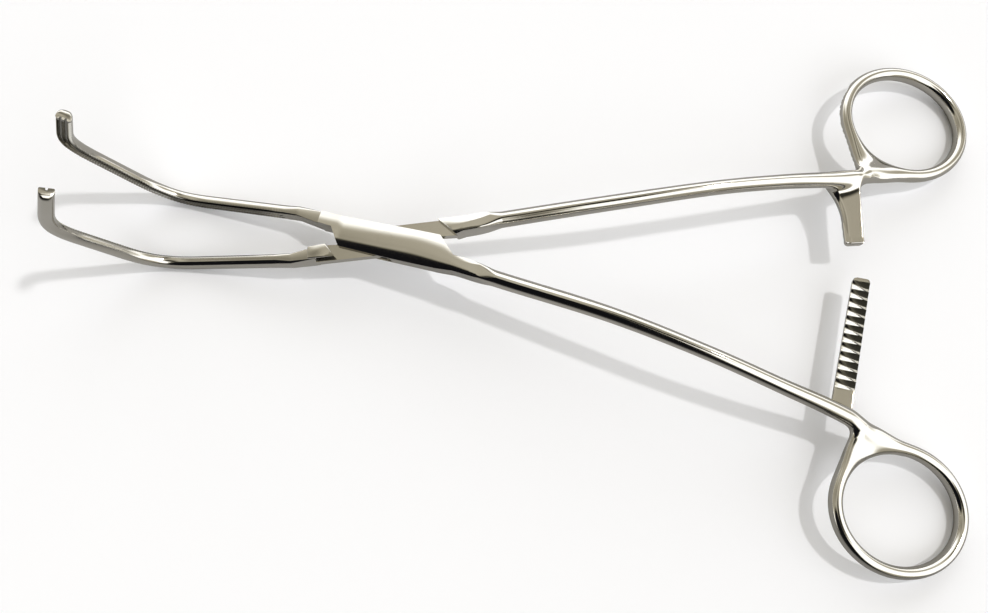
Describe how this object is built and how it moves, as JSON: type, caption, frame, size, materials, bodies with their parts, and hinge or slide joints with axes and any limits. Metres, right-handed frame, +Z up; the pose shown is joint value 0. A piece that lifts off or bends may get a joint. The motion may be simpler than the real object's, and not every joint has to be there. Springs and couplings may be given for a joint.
{
  "type": "vena cava clamp",
  "caption": "Long ring-handled vascular clamp with a box lock, a ratchet and jaws bent twice, upwards, to reach round a large vein.",
  "frame": {"origin": "bottom centre of the bounding box of the clamp lying on a table, opened slightly", "axes": "+X from the jaws towards the finger rings, +Y towards the ring of the tongue half, +Z up; the lock's pin leans 9.5 degrees towards -X, as the clamp rests on its jaw bends and rings"},
  "size_m": [0.2424, 0.1438, 0.0516],
  "materials": {
    "box_half_steel": "polished",
    "tongue_half_steel": "polished",
    "box_pin_steel": "polished"
  },
  "bodies": {
    "box_side": {"box_half": "box_half_steel", "box_pin": "box_pin_steel"},
    "tongue_side": {"tongue_half": "tongue_half_steel"}
  },
  "joints": [
    {"name": "box_lock", "type": "hinge", "parent": "box_side", "child": "tongue_side", "pos_m": [-0.03831, 0, 0.01277], "axis": [-0.1654, 0, 0.9862], "range_deg": [-14.2, 45.8]}
  ]
}
